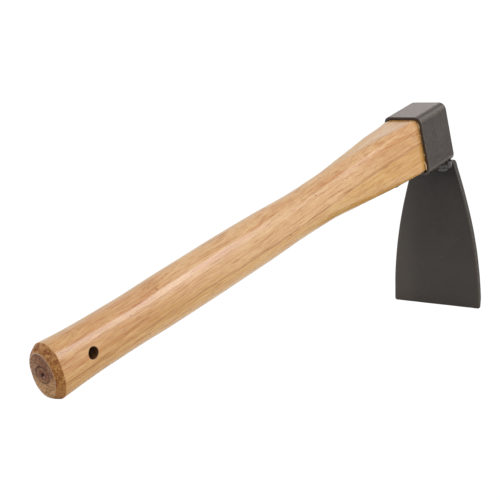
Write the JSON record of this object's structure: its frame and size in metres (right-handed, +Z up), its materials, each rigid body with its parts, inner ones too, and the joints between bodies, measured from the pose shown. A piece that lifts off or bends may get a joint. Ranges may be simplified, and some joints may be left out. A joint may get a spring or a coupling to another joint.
{
  "type": "hand hoe",
  "caption": "Short-handled hand hoe: oval wooden handle through a rectangular steel tube eye, with a flared steel blade welded across under it.",
  "frame": {"origin": "bottom centre of the whole tool, on the ground it stands on", "axes": "+X towards the head, +Y across the tool, +Z up; the tool stands on its cutting edge and the lower rim of its butt, with the handle sloping down to the butt at 17.0 degrees"},
  "size_m": [0.4464, 0.0876, 0.1742],
  "materials": {
    "handle_wood": "pale hardwood with a satin clear varnish, straight grain along the handle",
    "wedge_wood": "unfinished wood, end grain out",
    "tube_steel": "dark mill scale under a thin clear coat, satin",
    "blade_steel": "dark mill scale under a thin clear coat, smooth and satin",
    "weld_steel": "dark rippled weld metal, glossier than the plate",
    "wedge_steel": "dark bare steel"
  },
  "bodies": {
    "root": {"handle": "handle_wood", "wood_wedge": "wedge_wood", "steel_wedge": "wedge_steel", "steel_shim": "wedge_steel", "collar": "tube_steel", "blade": "blade_steel", "weld_bead_inner": "weld_steel", "weld_bead_outer": "weld_steel"}
  },
  "joints": []
}
